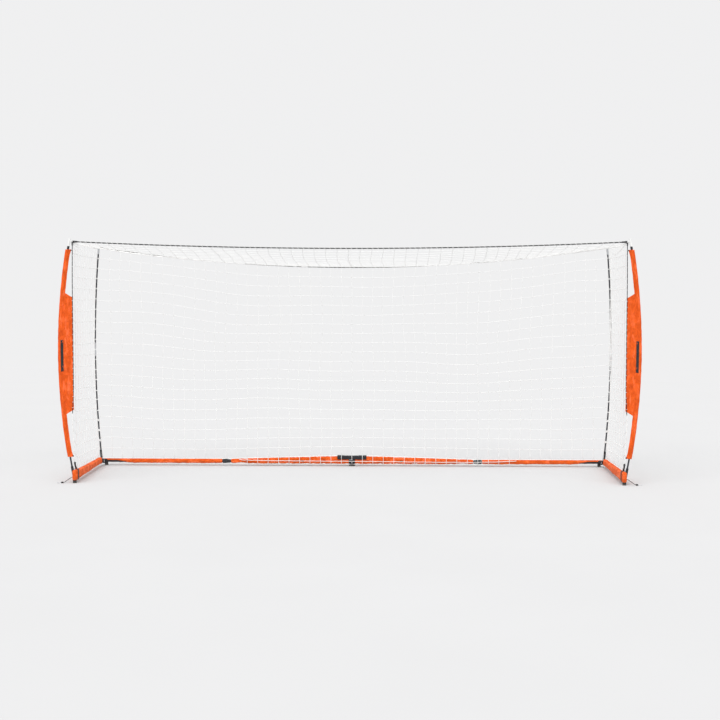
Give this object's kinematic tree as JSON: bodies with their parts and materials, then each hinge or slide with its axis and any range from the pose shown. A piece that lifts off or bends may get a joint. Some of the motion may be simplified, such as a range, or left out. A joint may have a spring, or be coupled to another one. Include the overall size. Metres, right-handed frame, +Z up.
{
  "type": "portable goal net",
  "caption": "Portable goal with a white net on two flexed front poles and two rear poles, standing on a folding orange-covered U-shaped base.",
  "frame": {"origin": "on the ground, in the middle of the goal's plan", "axes": "+X across the goal to the right, +Y from the mouth towards the rear bar, +Z up"},
  "size_m": [5.1832, 1.2278, 2.1738],
  "materials": {
    "steel_tube": "satin black powder coat",
    "cover_fabric": "coated woven polyester, orange, soft wrinkles",
    "black_plate": "black powder coat",
    "plated_steel": "zinc plated",
    "foot_rubber": "moulded rubber",
    "flap_fabric": "black woven nylon with sewn edges",
    "net_twine": "white knotted polyethylene twine",
    "pole_black": "black fibreglass pole",
    "pole_sleeve_grey": "brushed aluminium sleeve",
    "fitting_white": "moulded white plastic",
    "sleeve_fabric": "orange woven polyester sleeve, wrinkled",
    "webbing": "black woven webbing",
    "cord_black": "braided elastic cord",
    "fitting_dark": "plated hook with a dark toggle"
  },
  "bodies": {
    "left_inner": {"left_inner_tube": "steel_tube", "left_inner_cover": "cover_fabric", "left_inner_hinges": "black_plate", "left_inner_fasteners": "plated_steel", "left_inner_rear_net": "net_twine", "left_inner_roof_net": "net_twine", "centre_foot": "foot_rubber", "centre_flap": "flap_fabric"},
    "right_inner": {"right_inner_tube": "steel_tube", "right_inner_cover": "cover_fabric", "right_inner_hinges": "black_plate", "right_inner_fasteners": "plated_steel", "right_inner_rear_net": "net_twine", "right_inner_roof_net": "net_twine"},
    "left_outer": {"left_outer_tube": "steel_tube", "left_outer_cover": "cover_fabric", "left_outer_hinge": "black_plate", "left_corner_bracket": "black_plate", "left_outer_fasteners": "plated_steel", "left_rear_foot": "foot_rubber", "left_rear_pole": "pole_black", "left_rear_pole_fittings": "pole_sleeve_grey", "left_outer_rear_net": "net_twine", "left_outer_roof_net": "net_twine"},
    "right_outer": {"right_outer_tube": "steel_tube", "right_outer_cover": "cover_fabric", "right_outer_hinge": "black_plate", "right_corner_bracket": "black_plate", "right_outer_fasteners": "plated_steel", "right_rear_foot": "foot_rubber", "right_rear_pole": "pole_black", "right_rear_pole_fittings": "pole_sleeve_grey", "right_outer_rear_net": "net_twine", "right_outer_roof_net": "net_twine"},
    "left_side": {"left_side_tube": "steel_tube", "left_side_cover": "cover_fabric", "left_side_hinge": "black_plate", "left_front_socket": "black_plate", "left_side_fasteners": "plated_steel", "left_front_foot": "foot_rubber", "left_bow_pole": "pole_black", "left_bow_fittings": "fitting_white", "left_bow_sleeve": "sleeve_fabric", "left_side_net": "net_twine", "left_corner_strap": "webbing", "left_tether": "cord_black", "left_tether_fittings": "fitting_dark"},
    "right_side": {"right_side_tube": "steel_tube", "right_side_cover": "cover_fabric", "right_side_hinge": "black_plate", "right_front_socket": "black_plate", "right_side_fasteners": "plated_steel", "right_front_foot": "foot_rubber", "right_bow_pole": "pole_black", "right_bow_fittings": "fitting_white", "right_bow_sleeve": "sleeve_fabric", "right_side_net": "net_twine", "right_corner_strap": "webbing", "right_tether": "cord_black", "right_tether_fittings": "fitting_dark"}
  },
  "joints": [
    {"name": "centre_fold", "type": "hinge", "parent": "left_inner", "child": "right_inner", "pos_m": [0, 0.5435, 0.044], "axis": [0, 0, -1], "range_deg": [0, 180], "deforming": ["right_inner_roof_net", "left_inner_roof_net", "centre_flap"]},
    {"name": "left_fold", "type": "hinge", "parent": "left_inner", "child": "left_outer", "pos_m": [-1.22, 0.5995, 0.044], "axis": [0, 0, -1], "range_deg": [0, 180], "deforming": ["left_outer_roof_net"]},
    {"name": "right_fold", "type": "hinge", "parent": "right_inner", "child": "right_outer", "pos_m": [1.22, 0.5995, 0.044], "axis": [0, 0, 1], "range_deg": [0, 180], "deforming": ["right_outer_roof_net"]},
    {"name": "left_corner_fold", "type": "hinge", "parent": "left_outer", "child": "left_side", "pos_m": [-2.412, 0.5435, 0.044], "axis": [0, 0, 1], "range_deg": [0, 90]},
    {"name": "right_corner_fold", "type": "hinge", "parent": "right_outer", "child": "right_side", "pos_m": [2.412, 0.5435, 0.044], "axis": [0, 0, -1], "range_deg": [0, 90]}
  ],
  "couplings": [
    {"joint": "left_fold", "follows": "centre_fold", "ratio": 1},
    {"joint": "right_fold", "follows": "centre_fold", "ratio": 1},
    {"joint": "left_corner_fold", "follows": "centre_fold", "ratio": 0.5},
    {"joint": "right_corner_fold", "follows": "centre_fold", "ratio": 0.5}
  ]
}
